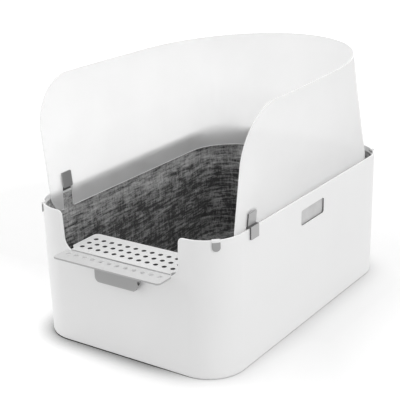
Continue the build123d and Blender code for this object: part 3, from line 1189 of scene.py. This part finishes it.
@dataclass
class SplashShield:
    """Wraparound frosted sheet: a straight skirt in the tub, then a flare up to a round shoulder."""

    half_width: float = 189.8
    rear: float = 287.3
    corner: float = 98.0
    wall: float = 2.2
    foot: float = 202.5
    # hem is the height of the strip along the foot that takes a painted highlight
    hem: float = 2.0
    bend: float = 242.0
    top: float = 437.0
    front: float = -239.5
    foot_round: float = 34.0
    foot_flats: int = 8
    shoulder: float = 90.0
    shoulder_flats: int = 12
    first_strip: float = 94.17
    tuck: float = 1.2
    crown_half_width: float = 203.4
    crown_start: float = 43.0
    crown_rear: float = 325.0
    crown_bow: float = 7.0
    crown_widest: float = -170.0
    trim: float = 10.0
    side_spans: int = 22
    corner_spans: int = 23
    rear_spans: int = 28
    front_spans: int = 4
    flare_cuts: int = 9
    clip_y: float = -195.5
    slit_half_width: float = 12.6
    slit_top: float = 243.4
    slit_below: float = 20.0
    slit_mouth_round: float = 6.0
    slit_end_round: float = 3.0
    edge: float = 0.6
    edge_angle: float = 60.0
    cut_facing: float = 0.55
    cut_slack: float = 0.5

    def skirt_side(self, y: float) -> float:
        """Half of the skirt's width at y, which is tucked in at its very front."""
        return self.half_width - (self.tuck if y == self.front else 0)

    def crown_side(self, y: float) -> float:
        """Half of the top's width at y, in front of its rear curve."""
        share = (y - self.crown_widest) / (self.crown_start - self.crown_widest)
        return self.crown_half_width + self.crown_bow * (1 - share**2)

    def draw_forward(self, line: Piece, half_width_at: Callable[[float], float]) -> None:
        """Draw both ends of a line forward, past the shield's front, span by span.

        Args:
            line: Open line of edges that ends at both sides where the rear curve starts.
            half_width_at: Half of the line's width at a place along the box.
        """
        strip = self.front + self.first_strip
        span = (strip - self.crown_start) / self.front_spans
        stops = [self.crown_start + span * step for step in range(self.front_spans + 1)]
        widths = [half_width_at(y) for y in stops]
        slope = (half_width_at(self.front) - widths[-1]) / self.first_strip
        stops.append(self.front - self.trim)
        widths.append(widths[-1] + slope * (self.first_strip + self.trim))
        with shaping(line):
            for (here, width), (there, next_width) in pairwise(zip(stops, widths)):
                for side in (-1, 1):
                    pick(line, Pick.POINTS, lambda p: p.co.y / MM < here + TOUCH and p.co.x * side > 0)
                    way = (side * (next_width - width) * MM, (there - here) * MM, 0)
                    bpy.ops.mesh.extrude_vertices_move(TRANSFORM_OT_translate={"value": way})

    def bend_line(self) -> Piece:
        """Open line of edges round the skirt's top, from the right front to the left front.

        Returns:
            The line.
        """
        start = self.crown_start
        put_down()
        middle = (start + self.rear) / 2
        bpy.ops.mesh.primitive_plane_add(size=1, location=(0, middle * MM, self.bend * MM))
        line = bpy.context.object
        line.name = "shield_sheet"
        line.scale = (2 * self.half_width * MM, (self.rear - start) * MM, 1)
        settle(line)
        with shaping(line):
            pick(line, Pick.POINTS, lambda p: p.co.y / MM > start + NEAR)
            round_off(self.corner, self.corner_spans, points=True)
            pick(line, Pick.EDGES, lambda e: along(e, Axis.X) and middle_of(e).y < start + NEAR)
            bpy.ops.mesh.delete(type="EDGE")
            pick(line, Pick.EDGES, lambda e: abs(middle_of(e).x) > self.half_width - TOUCH)
            bpy.ops.mesh.subdivide(number_cuts=self.side_spans - 1)
            pick(line, Pick.EDGES, lambda e: middle_of(e).y > self.rear - TOUCH)
            bpy.ops.mesh.subdivide(number_cuts=self.rear_spans - 1)
        self.draw_forward(line, self.skirt_side)
        return line

    def crown_line(self) -> Piece:
        """Open line of edges round the top, with as many points as the skirt's.

        Returns:
            The line.
        """
        put_down()
        spans = 2 * (2 * self.side_spans + 2 * self.corner_spans + self.rear_spans)
        centre = (0, self.crown_start * MM, self.top * MM)
        bpy.ops.mesh.primitive_circle_add(vertices=spans, radius=MM, location=centre)
        line = bpy.context.object
        line.scale = (self.crown_half_width, self.crown_rear - self.crown_start, 1)
        settle(line)
        with shaping(line):
            pick(line, Pick.POINTS, lambda p: p.co.y / MM < self.crown_start - TOUCH)
            bpy.ops.mesh.delete(type="VERT")
        self.draw_forward(line, self.crown_side)
        return line

    def sheet(self) -> Piece:
        """Sheet without thickness: flare between the two lines, and the skirt under it.

        Returns:
            The sheet.
        """
        piece = self.bend_line()
        crown = self.crown_line()
        take_up(piece)
        crown.select_set(True)
        bpy.ops.object.join()
        with shaping(piece):
            bpy.ops.mesh.select_mode(type="EDGE")
            bpy.ops.mesh.select_all(action="SELECT")
            bpy.ops.mesh.bridge_edge_loops(number_cuts=self.flare_cuts, interpolation="LINEAR")
            pick(piece, Pick.EDGES, lambda e: level(e, self.bend))
            pull_up(self.foot - self.bend)
            bpy.ops.mesh.select_all(action="SELECT")
            bpy.ops.mesh.normals_make_consistent(inside=False)
            shape = bmesh.from_edit_mesh(piece.data)
            outward = sum(f.normal.x * f.calc_center_median().x for f in shape.faces)
            if outward < 0:
                bpy.ops.mesh.flip_normals()
        return piece

    def trim_front(self, piece: Piece) -> None:
        """Cut the front edge: round foot, upright middle and round shoulder, one straight cut at a time.

        Args:
            piece: The sheet without thickness.
        """
        cuts = [(Vector((0, self.front, 0)), Vector((0, -1, 0)))]
        for radius, height, way, flats in (
            (self.shoulder, self.top, 1, self.shoulder_flats),
            (self.foot_round, self.foot, -1, self.foot_flats),
        ):
            centre = Vector((0, self.front + radius, height - way * radius))
            for step in range(flats):
                turn = math.radians(90) * (step + 0.5) / flats
                out = Vector((0, -math.cos(turn), way * math.sin(turn)))
                cuts.append((centre + out * radius, out))
        with shaping(piece):
            for place, facing in cuts:
                slice_through(place, facing, clear=True)

    def slit_cutter(self) -> Piece:
        """Body that cuts the slit under each clip.

        Returns:
            The cutter.
        """
        reach = 2 * self.half_width
        cutter = add_block(
            "slit_cutter",
            (-reach, self.clip_y - self.slit_half_width, self.foot - self.slit_below),
            (reach, self.clip_y + self.slit_half_width, self.slit_top),
        )
        with shaping(cutter):
            pick(cutter, Pick.EDGES, lambda e: along(e, Axis.X) and middle_of(e).z > self.slit_top - NEAR)
            round_off(self.slit_end_round, flats=4)
        return cutter

    def at_slit_mouth(self, edge: bmesh.types.BMEdge) -> bool:
        """Whether an edge is one of the corners where a slit meets the skirt's foot."""
        beside = abs(abs(middle_of(edge).y - self.clip_y) - self.slit_half_width) < TOUCH
        return beside and along(edge, Axis.X) and level(edge, self.foot)

    def build(self) -> Piece:
        """Model and dress the shield.

        Returns:
            The shield.
        """
        piece = self.sheet()
        self.trim_front(piece)
        apply_modifier(piece, "SOLIDIFY", thickness=self.wall * MM, offset=-1, use_even_offset=True)
        carve(piece, self.slit_cutter())
        with shaping(piece):
            # cut off the strip along the foot that takes a painted highlight
            slice_through((0, 0, self.foot + self.hem), (0, 0, 1))
            pick(piece, Pick.EDGES, self.at_slit_mouth)
            round_off(self.slit_mouth_round, flats=5)
            pick(piece, Pick.POINTS, lambda p: p.co.z / MM > self.top - NEAR)
            stretch(1, 1, 0, about=(0, 0, self.top))
        soften(piece, self.edge, self.edge_angle, weigh=False)
        with shaping(piece):
            bpy.ops.mesh.select_all(action="SELECT")
            bpy.ops.mesh.dissolve_degenerate(threshold=NO_WIDTH * MM)
        materials = [FINISHES.shield.material(), FINISHES.edge.material()]
        dress(piece, Body.SHIELD, materials, ["splash_shield"])
        points = piece.data.vertices
        paint(piece, lambda face: self.coat_of(face, points))
        return piece

    def coat_of(self, face: bpy.types.MeshPolygon, points: Sequence[bpy.types.MeshVertex]) -> SheetCoat:
        """Finish of a face: a painted highlight on a thin strip along the foot and on the cut edges across
        the thickness, or frosted.

        Args:
            face: The face.
            points: All points of the sheet.

        Returns:
            The finish.
        """
        narrow = min((points[a].co - points[b].co).length for a, b in face.edge_keys)
        up, ahead = (abs(share) > self.cut_facing for share in (face.normal.z, face.normal.y))
        across_wall = (up or (ahead and face.center.y < 0)) and narrow < (self.wall + self.cut_slack) * MM
        # painted highlight along the foot and on the cut edges
        in_lit_strip = face.center.z / MM < self.foot + self.hem
        return SheetCoat.CUT if in_lit_strip or across_wall else SheetCoat.FROSTED


class StepCoat(IntEnum):
    """Finishes of the step's panel, in the order of its material slots."""

    PLAIN = 0
    # painted shade on the walls of the holes
    HOLE = 1
    # painted highlight along the panel's outer edge
    RIM = 2
    # painted shade at the fold
    FOLD = 3


class FlapCoat(IntEnum):
    """Finishes of the step's flap, in the order of its material slots."""

    PLAIN = 0
    # painted shade: the flap's front and side flanks take the darker clip grey
    FLANK = 1


@dataclass
class StepPlates:
    """Perforated inner panel and outer flap of the step."""

    fold: float = -293.6
    fold_gap: float = 1.5
    low: float = 171.6
    panel_thickness: float = 3.6
    panel_half_width: float = 110.0
    panel_rear: float = -215.0
    panel_corner: float = 9.0
    neck_half_width: float = 100.96
    waist: float = -286.2
    lip: float = 2.2
    lip_drop: float = 5.0
    lip_front: float = -260.5
    lip_largest_face: float = 1000.0
    flap_half_width: float = 108.0
    flap_front: float = -332.5
    flap_thickness: float = 3.1
    flap_front_corner: float = 7.0
    flap_rear_corner: float = 6.0
    # width of the top's outer ring, inset as its own faces, that takes a painted highlight
    rim_line: float = 1.1
    panel_edge: float = 0.4
    flap_edge: float = 0.6
    hole_radius: float = 4.15
    hole_flats: int = 24
    hole_columns: int = 12
    hole_rows: int = 3
    hole_pitch_x: float = 16.9
    hole_pitch_y: float = 18.3
    hole_rear: float = -237.0
    flap_hole: float = -308.5
    pin_length: float = 30.0
    fold_facing: float = 0.6
    hole_facing: float = 0.4
    rim_facing: float = 0.1
    flank_facing: float = 0.5

    def hole_cutter(self, rows: int, rear: float) -> Piece:
        """Round pins in rows, to cut the holes with.

        Args:
            rows: Number of rows.
            rear: Place of the rearmost row.

        Returns:
            The pins, as one body.
        """
        put_down()
        first = -self.hole_pitch_x * (self.hole_columns - 1) / 2
        bpy.ops.mesh.primitive_cylinder_add(
            vertices=self.hole_flats,
            radius=self.hole_radius * MM,
            depth=self.pin_length * MM,
            location=(first * MM, rear * MM, self.low * MM),
        )
        pins = bpy.context.object
        settle(pins)
        for count, offset in (
            (self.hole_columns, (self.hole_pitch_x * MM, 0, 0)),
            (rows, (0, -self.hole_pitch_y * MM, 0)),
        ):
            apply_modifier(
                pins,
                "ARRAY",
                count=count,
                use_relative_offset=False,
                use_constant_offset=True,
                constant_offset_displace=offset,
            )
        return pins

    def under_lip(self, face: bmesh.types.BMFace) -> bool:
        """Whether a face of the underside's border lies behind the lip's front, at the side or the rear.

        Args:
            face: The face.

        Returns:
            True where the lip hangs from the face.
        """
        x, y, _ = face.calc_center_median() / MM
        beside = abs(x) > self.panel_half_width - self.panel_corner - self.lip
        at_rear = y > self.panel_rear - self.lip
        is_narrow = face.calc_area() < self.lip_largest_face * MM**2
        faces_down = face.normal.z < -SQUARE_ON
        return faces_down and y > self.lip_front and (beside or at_rear) and is_narrow

    def build_panel(self) -> Piece:
        """Model and dress the inner panel.

        Returns:
            The panel.
        """
        front = self.fold + self.fold_gap
        piece = add_block(
            "step_panel_top",
            (-self.panel_half_width, front, self.low),
            (self.panel_half_width, self.panel_rear, self.low + self.panel_thickness),
        )
        shoulder = self.waist + self.panel_half_width - self.neck_half_width
        with shaping(piece):
            for y in (self.waist, shoulder, self.lip_front):
                slice_through((0, y, 0), (0, 1, 0))
            pick(piece, Pick.POINTS, lambda p: p.co.y / MM < self.waist + TOUCH)
            stretch(self.neck_half_width / self.panel_half_width, 1, 1)
            pick(piece, Pick.EDGES, lambda e: along(e, Axis.Z) and middle_of(e).y > self.panel_rear - NEAR)
            round_off(self.panel_corner, flats=6)
            pick(piece, Pick.FACES, lambda f: f.normal.z < -SQUARE_ON)
            step_in(self.lip)
            pick(piece, Pick.FACES, self.under_lip)
            pull_up(-self.lip_drop)
            pick(piece, Pick.FACES, lambda f: f.normal.z > SQUARE_ON)
            step_in(self.rim_line)
        carve(piece, self.hole_cutter(self.hole_rows, self.hole_rear))
        soften(piece, self.panel_edge)
        finishes = (FINISHES.step, FINISHES.hole, FINISHES.edge, FINISHES.fold)
        materials = [finish.material() for finish in finishes]
        dress(piece, Body.STEP, materials, ["step_panel"])
        paint(piece, self.panel_coat_of)
        return piece

    def panel_coat_of(self, face: bpy.types.MeshPolygon) -> StepCoat:
        """Finish of a face of the panel: painted shade at the fold and in a hole, a painted highlight on the
        rim, or plain.

        Args:
            face: The face.

        Returns:
            The finish.
        """
        x, y, _ = face.center / MM
        facing = face.normal
        # painted shade on the panel's front face at the fold
        if y < self.waist - 2 * NEAR and facing.y < -self.fold_facing:
            return StepCoat.FOLD
        inner_x = self.panel_half_width - self.panel_corner
        inner_y = self.panel_rear - self.panel_corner
        # painted shade on the walls of the holes
        if abs(x) < inner_x and self.waist < y < self.hole_rear + self.hole_radius + NEAR:
            return StepCoat.HOLE if abs(facing.z) < self.hole_facing else StepCoat.PLAIN
        # painted highlight on the ring along the outer edge
        on_lit_rim = y > self.panel_rear - self.rim_line or abs(x) > self.panel_half_width - self.rim_line
        if abs(x) > inner_x and y > inner_y:
            on_lit_rim |= math.hypot(abs(x) - inner_x, y - inner_y) > self.panel_corner - self.rim_line
        return StepCoat.RIM if on_lit_rim and facing.z > self.rim_facing else StepCoat.PLAIN

    def build_flap(self) -> Piece:
        """Model and dress the outer flap.

        Returns:
            The flap.
        """
        rear = self.fold - self.fold_gap
        piece = add_block(
            "step_flap_plate",
            (-self.flap_half_width, self.flap_front, self.low),
            (self.flap_half_width, rear, self.low + self.flap_thickness),
        )
        with shaping(piece):
            pick(piece, Pick.EDGES, lambda e: along(e, Axis.Z) and middle_of(e).y < self.flap_front + NEAR)
            round_off(self.flap_front_corner, flats=8)
            pick(piece, Pick.EDGES, lambda e: along(e, Axis.Z) and middle_of(e).y > rear - TOUCH)
            round_off(self.flap_rear_corner, flats=5)
        carve(piece, self.hole_cutter(1, self.flap_hole))
        soften(piece, self.flap_edge)
        # the clip grey is the painted shade of the flap's flanks
        materials = [FINISHES.flap.material(), FINISHES.grey.material()]
        dress(piece, Body.FLAP, materials, ["step_flap"])
        paint(piece, self.flap_coat_of)
        return piece

    def flap_coat_of(self, face: bpy.types.MeshPolygon) -> FlapCoat:
        """Finish of a face of the flap: painted shade in the darker grey on its outer flanks, or plain.

        Args:
            face: The face.

        Returns:
            The finish.
        """
        x, y, _ = face.center / MM
        at_front = y < self.flap_front + self.flap_front_corner
        at_side = abs(x) > self.flap_half_width - NEAR
        is_shaded_flank = abs(face.normal.z) < self.flank_facing
        # painted shade on the front and side flanks
        return FlapCoat.FLANK if is_shaded_flank and (at_front or at_side) else FlapCoat.PLAIN


class Fitting(Enum):
    """Kinds of grey fitting."""

    CLIP_LEFT = "left clip"
    CLIP_RIGHT = "right clip"
    HOOK = "hook"
    HOOK_PALE_FLANK = "hook with a pale outer flank"
    BRACKET = "bracket"


class FittingCoat(IntEnum):
    """Finishes of a fitting, in the order of its material slots."""

    PLAIN = 0
    # second finish: painted light on the left clip's front, painted shade on the bracket's tongue, the white
    # cap and pale flank on the hooks
    PALE = 1
    # painted shade in the fittings' gaps, shelves and recesses
    DARK = 2


@dataclass
class GreyFittings:
    """Clips, hooks and the step's bracket: small moulded parts with softened edges."""

    edge: float = 0.45
    rim: float = 240.0
    cap_low: float = 236.8
    cap_foot: float = 240.2
    cap_squash: float = 0.35
    clip_shelf: float = 243.5
    tongue_front: float = -301.2
    tongue_foot: float = 170.0
    corner_cut: Triple = (34.0, 0.0, 132.7)
    rim_cut: tuple[Triple, Triple] = ((43.4, -298.8, 120.0), (50.0, -291.0, 170.0))
    recess: Triple = (44.0, -301.2, 148.8)
    recess_half: tuple[float, float] = (2.3, 3.3)
    recess_depth: float = 1.4
    recess_flats: int = 20
    edge_angle: float = 40.0
    front_facing: float = 0.6
    flank_facing: float = 0.7
    pieces: tuple[tuple[str, str, Body, Fitting], ...] = (
        ("shield_clip_left", "clip_left", Body.SHIELD, Fitting.CLIP_LEFT),
        ("shield_clip_right", "clip_right", Body.SHIELD, Fitting.CLIP_RIGHT),
        ("liner_hook_front_left", "hook_front_left", Body.LINER, Fitting.HOOK_PALE_FLANK),
        ("liner_hook_front_right", "hook_front_right", Body.LINER, Fitting.HOOK),
        ("liner_hook_rear_left", "hook_rear_left", Body.LINER, Fitting.HOOK),
        ("liner_hook_rear_right", "hook_rear_right", Body.LINER, Fitting.HOOK),
        ("step_bracket", "bracket", Body.STEP, Fitting.BRACKET),
    )

    def trim_tongue(self, piece: Piece) -> None:
        """Cut off the tongue's lower right corner and right rim, and sink an oval recess beside its end.

        Args:
            piece: The step's bracket.
        """
        with shaping(piece):
            slice_through(self.corner_cut, Vector((1, 0, -1)).normalized(), clear=True, fill=True)
        carve(piece, add_block("rim_cutter", *self.rim_cut))
        put_down()
        bpy.ops.mesh.primitive_cylinder_add(
            vertices=self.recess_flats,
            radius=MM,
            depth=2 * self.recess_depth * MM,
            location=Vector(self.recess) * MM,
            rotation=(math.radians(90), 0, 0),
        )
        cutter = bpy.context.object
        cutter.scale = (*self.recess_half, 1)
        settle(cutter)
        carve(piece, cutter)

    def flatten_cap(self, piece: Piece) -> None:
        """Press the hook's cap closer to the rim, and part its pale top from its grey front.

        Args:
            piece: The hook.
        """
        with shaping(piece):
            slice_through((0, 0, self.cap_low), (0, 0, 1))
            pick(piece, Pick.POINTS, lambda p: p.co.z / MM > self.cap_foot)
            stretch(1, 1, self.cap_squash, about=(0, 0, self.rim))

    def coat_of(self, kind: Fitting, face: bpy.types.MeshPolygon) -> FittingCoat:
        """Which of a fitting's finishes a face takes.

        Args:
            kind: Kind of the fitting.
            face: The face.

        Returns:
            The finish.
        """
        place, facing = face.center / MM, face.normal
        in_front = facing.y < -self.front_facing
        # painted shade: the left clip below its shelf, the right clip's front and shelf, and the bracket's
        # recess
        if kind is Fitting.CLIP_LEFT:
            takes_second, is_shaded = in_front, place.z < self.clip_shelf
        elif kind is Fitting.CLIP_RIGHT:
            on_shelf = facing.z > self.flank_facing and place.z < self.clip_shelf + NEAR
            takes_second, is_shaded = False, in_front or on_shelf
        elif kind is Fitting.BRACKET:
            across, _, up = self.recess
            near = abs(place.x - across) < self.recess_half[0] and abs(place.z - up) < self.recess_half[1]
            sunk = self.tongue_front + 2 * TOUCH < place.y < self.tongue_front + 2 * NEAR
            # the tongue below the step takes painted shade
            takes_second, is_shaded = place.z < self.tongue_foot, near and sunk
        else:
            on_flank = kind is Fitting.HOOK_PALE_FLANK and facing.x < -self.flank_facing
            takes_second, is_shaded = on_flank or place.z > self.cap_low, False
        if is_shaded:
            return FittingCoat.DARK
        return FittingCoat.PALE if takes_second else FittingCoat.PLAIN

    def build(self) -> None:
        """Copy each fitting from its CAD node, trim it and dress it."""
        dark, cap = FINISHES.dark.material(), FINISHES.cap.material()
        # the left clip takes painted shade and painted light: darker and lighter copies of the grey plastic
        deep = [FINISHES.grey_shaded.material(), FINISHES.grey_lit.material(), dark]
        hook = [FINISHES.grey_hook.material(), cap, dark]
        # the bracket's tongue takes painted shade
        plain = [FINISHES.grey.material(), FINISHES.tongue.material(), dark]
        coats = {
            Fitting.CLIP_LEFT: deep,
            Fitting.CLIP_RIGHT: plain,
            Fitting.HOOK: hook,
            Fitting.HOOK_PALE_FLANK: hook,
            Fitting.BRACKET: plain,
        }
        for node, name, body, kind in self.pieces:
            piece = merged_copy(node, name)
            if kind is Fitting.BRACKET:
                self.trim_tongue(piece)
            if kind in (Fitting.HOOK, Fitting.HOOK_PALE_FLANK):
                self.flatten_cap(piece)
            soften(piece, self.edge, self.edge_angle)
            dress(piece, body, coats[kind], [node])
            paint(piece, lambda face: self.coat_of(kind, face))


# ---------------------------------------------------------------- the studio


@dataclass
class Camera:
    """Camera at the viewing angle, with a long lens."""

    place: Triple = (0.99639, -1.50233, 0.83417)
    yaw: float = 0.606
    pitch: float = 0.342
    roll: float = -0.029
    focal_pixels: float = 1051.245
    centre_pixels: tuple[float, float] = (197.93, 198.61)
    frame_pixels: float = 400.0
    sensor: float = 36.0
    farthest: float = 50.0

    def build(self) -> Piece:
        """Create the camera and make it the scene's.

        Returns:
            The camera.
        """
        flat = math.cos(self.pitch)
        forward = Vector((-math.sin(self.yaw) * flat, math.cos(self.yaw) * flat, -math.sin(self.pitch)))
        level_right = Vector((math.cos(self.yaw), math.sin(self.yaw), 0))
        level_up = level_right.cross(forward)
        right = math.cos(self.roll) * level_right + math.sin(self.roll) * level_up
        up = -math.sin(self.roll) * level_right + math.cos(self.roll) * level_up
        turn = Matrix((right, up, -forward)).transposed()
        data = bpy.data.cameras.new("main_camera")
        data.sensor_width = self.sensor
        data.lens = self.focal_pixels * self.sensor / self.frame_pixels
        half = self.frame_pixels / 2
        data.shift_x = (half - self.centre_pixels[0]) / self.frame_pixels
        data.shift_y = (self.centre_pixels[1] - half) / self.frame_pixels
        data.clip_end = self.farthest
        camera = bpy.data.objects.new("main_camera", data)
        camera.matrix_world = Matrix.Translation(self.place) @ turn.to_4x4()
        bpy.context.scene.collection.objects.link(camera)
        bpy.context.scene.camera = camera
        return camera


@dataclass
class Lamp:
    """Square soft lamp that faces the object."""

    name: str
    place: Triple
    size: float
    watts: float
    aim: Triple = (0, 0, 0.2)

    def build(self) -> Piece:
        """Create the lamp.

        Returns:
            The lamp.
        """
        data = bpy.data.lights.new(self.name, "AREA")
        data.shape = "SQUARE"
        data.size = self.size
        data.energy = self.watts
        lamp = bpy.data.objects.new(self.name, data)
        lamp.location = self.place
        way = Vector(self.aim) - Vector(self.place)
        lamp.rotation_euler = way.to_track_quat("-Z", "Y").to_euler()
        bpy.context.scene.collection.objects.link(lamp)
        return lamp


@dataclass
class Floor:
    """Large matte floor, white to the camera but for the object's shadow, partly lit and partly a painted
    contact shadow. Places are in metres.

    Each stretch is the two places between which a value goes from its first level to its second.
    """

    half: float = 8.0
    grey: float = 0.92
    grain: Grain = Grain(3, 2)
    grain_levels: tuple[float, float] = (0.985, 0.99)
    roughness: float = 0.3
    contact_reach: float = 0.055
    contact_steepness: float = 1.5
    contact_stretch: tuple[float, float] = (0.05, 0.17)
    contact_levels: tuple[float, float] = (1.95, 0.5)
    front_stretch: tuple[float, float] = (-0.32, -0.06)
    front_lift: float = 0.2
    across_stretch: tuple[float, float] = (-0.09, 0.02)
    across_levels: tuple[float, float] = (1.2, 0.82)
    right_stretch: tuple[float, float] = (0.26, 0.36)
    right_lift: float = 0.1
    far_stretch: tuple[float, float] = (0.8, 1.8)
    far_lift: float = 0.38

    def contact_shade(self, s: Shades) -> Socket:
        """Painted contact shadow: how much of the floor's colour and glow is left close to the object, least
        in front of it.

        Args:
            s: The floor's node tree.

        Returns:
            Socket of the share that is left.
        """
        open_sky = s.node("ShaderNodeAmbientOcclusion", Distance=self.contact_reach).outputs["AO"]
        weight = s.spread(s.at(Axis.X), *self.contact_stretch, *self.contact_levels)
        closed = s.math("POWER", s.rest_of(open_sky), self.contact_steepness)
        return s.rest_of(s.times(weight, closed))

    def lift(self, s: Shades) -> Socket:
        """Glow that the seen floor needs to reach white: in front, at the right and far away.

        Args:
            s: The floor's node tree.

        Returns:
            Socket of the glow's strength.
        """
        away = s.node("ShaderNodeVectorMath")
        away.operation = "LENGTH"
        s.feed(away.inputs[0], s.place)
        front = s.times(
            s.spread(s.at(Axis.Y), *self.front_stretch, self.front_lift, 0),
            s.spread(s.at(Axis.X), *self.across_stretch, *self.across_levels),
        )
        right = s.spread(s.at(Axis.X), *self.right_stretch, 0, self.right_lift)
        far = s.spread(away.outputs["Value"], *self.far_stretch, 0, self.far_lift)
        return s.math("MAXIMUM", s.math("MAXIMUM", front, right), far)

    def build(self) -> Piece:
        """Create the floor.

        Returns:
            The floor.
        """
        put_down()
        bpy.ops.mesh.primitive_plane_add(size=2 * self.half, location=(0, 0, 0))
        floor = bpy.context.object
        floor.name = "studio_floor"
        s = Shades.of_material("floor_pale")
        grain = s.wander(self.grain, *self.grain_levels)
        seen = s.seen_directly()
        # painted contact shadow, for what the camera sees
        contact = self.contact_shade(s)
        unseen = s.times(s.rest_of(seen), self.grey)
        shade = s.times(grain, s.plus(s.times(seen, contact), unseen))
        colour = s.node("ShaderNodeCombineColor", Red=shade, Green=shade, Blue=shade)
        matte = s.node("ShaderNodeBsdfDiffuse", Color=colour.outputs["Color"], Roughness=self.roughness)
        glow = s.node("ShaderNodeEmission", Strength=s.times(s.times(self.lift(s), contact), seen))
        both = s.node("ShaderNodeAddShader")
        s.feed(both.inputs[0], matte.outputs["BSDF"])
        s.feed(both.inputs[1], glow.outputs["Emission"])
        floor.data.materials.append(s.surface(both))
        return floor


@dataclass
class Studio:
    """White room: an even pale surround, a pale floor and soft lamps."""

    floor: Floor
    surround: float = 0.67
    lamps: tuple[Lamp, ...] = (
        Lamp("key_right", (2.4, -0.4, 1.4), 1.6, 15),
        Lamp("fill_left", (-2.2, -1.0, 1.0), 1.6, 14),
        Lamp("left_rear", (-2.0, 1.5, 1.3), 1.6, 8),
        Lamp("back", (-0.4, 2.4, 1.2), 1.6, 9),
        Lamp("top", (0.1, 0.3, 2.6), 2.2, 9),
    )

    def build_world(self) -> None:
        """White surround: at full white where it is seen, and at the lighting level elsewhere."""
        world = bpy.data.worlds.new("studio")
        bpy.context.scene.world = world
        s = Shades(world)
        strength = s.spread(s.seen_directly(), 0, 1, self.surround, 1)
        s.surface(s.node("ShaderNodeBackground", Color=(1, 1, 1, 1), Strength=strength))

    def build(self) -> None:
        """Set up the room."""
        self.build_world()
        self.floor.build()
        for lamp in self.lamps:
            lamp.build()
        bpy.context.scene.view_settings.view_transform = "Standard"


def main() -> None:
    """Build the camera, each sub-assembly in order, and the studio."""
    logging.basicConfig(level=logging.INFO, format="%(name)s: %(message)s")
    Camera().build()
    entry = Entry()
    box = OuterBox(entry)
    box.build()
    liner = Liner(entry, box).build()
    tape = LinerTape(entry, box).build()
    SplashShield().build()
    plates = StepPlates()
    plates.build_panel()
    plates.build_flap()
    GreyFittings().build()
    Studio(Floor()).build()
    put_down()


if __name__ == "__main__":
    main()
